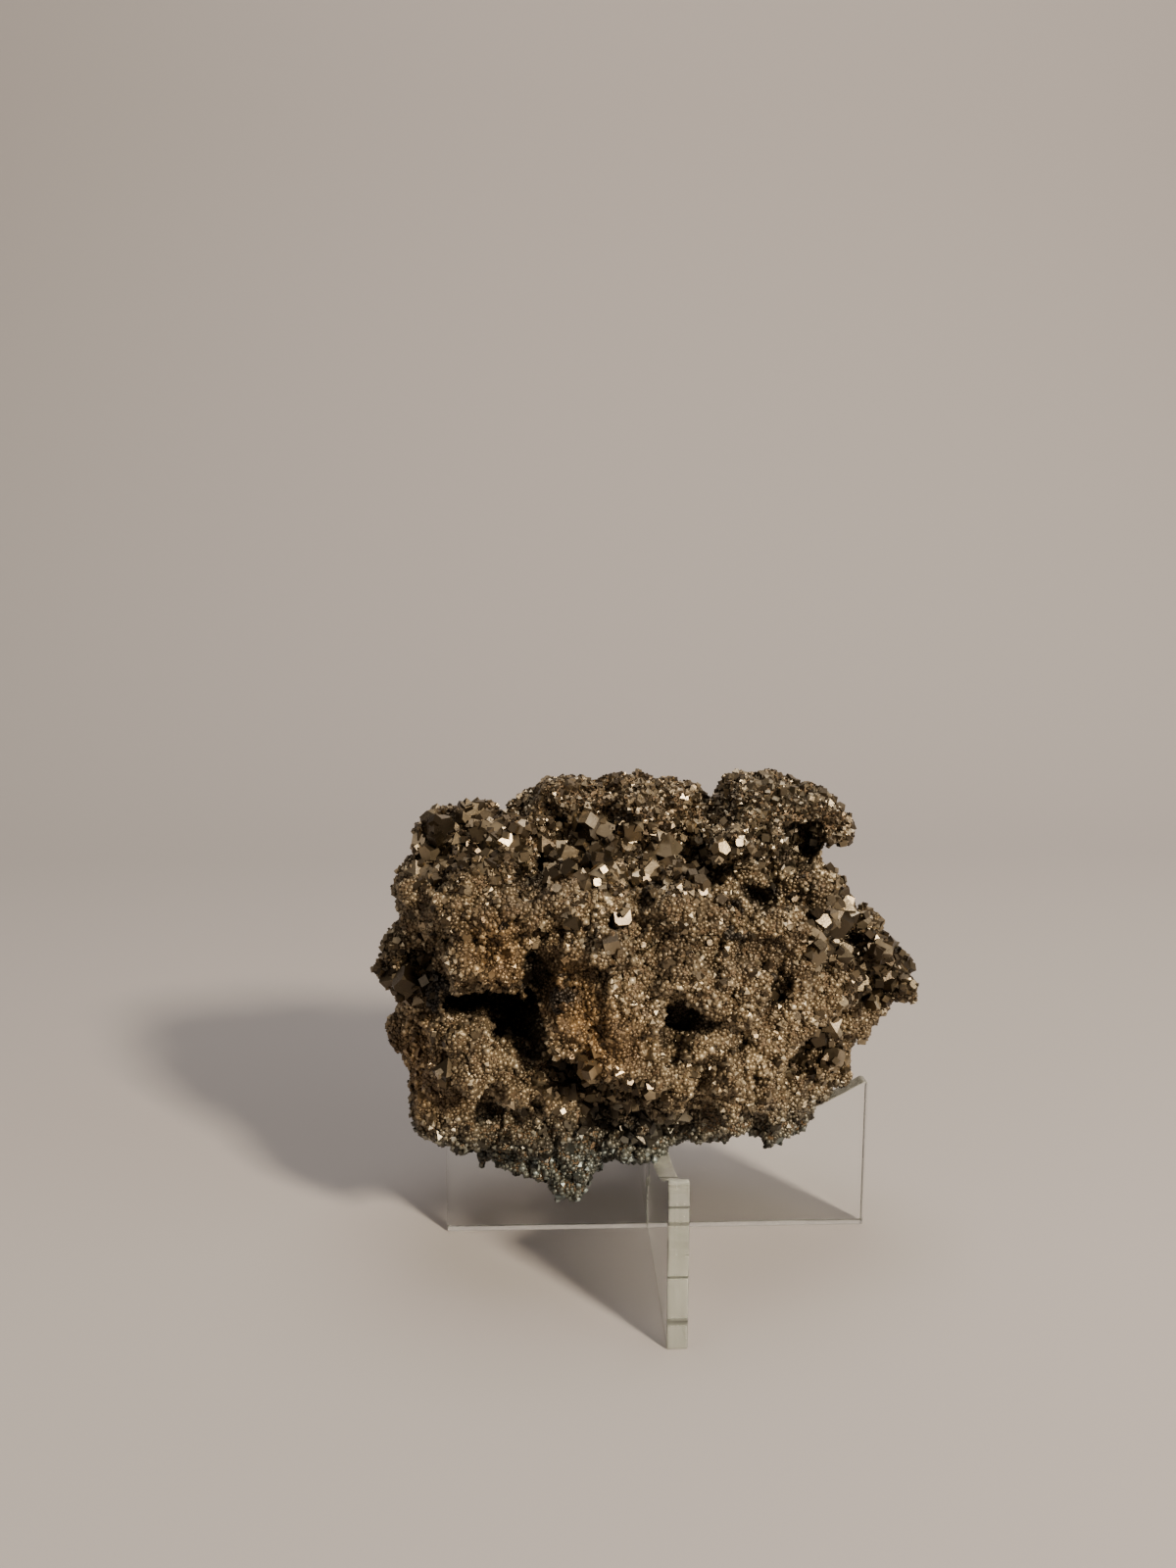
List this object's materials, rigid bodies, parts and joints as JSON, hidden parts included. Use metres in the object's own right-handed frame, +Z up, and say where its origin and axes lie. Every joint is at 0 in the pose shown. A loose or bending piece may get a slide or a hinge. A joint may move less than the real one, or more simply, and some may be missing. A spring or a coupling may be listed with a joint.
{
  "type": "pyrite cluster on display stand",
  "caption": "Craggy pyrite cluster with pits and flat-faced crystals, at rest in a clear stand of slotted, crossed plates with concave tops.",
  "frame": {"origin": "on the floor, under the crossing of the stand's plates", "axes": "+X to the right along the plate that faces the front and along the rock's length, +Y away from the front, +Z up"},
  "size_m": [0.0935, 0.074, 0.0819],
  "materials": {
    "pyrite": "satin",
    "clear_acrylic": "gloss"
  },
  "bodies": {
    "root": {"pyrite_cluster": "pyrite", "stand_cross_plate": "clear_acrylic", "stand_depth_plate": "clear_acrylic"}
  },
  "joints": []
}
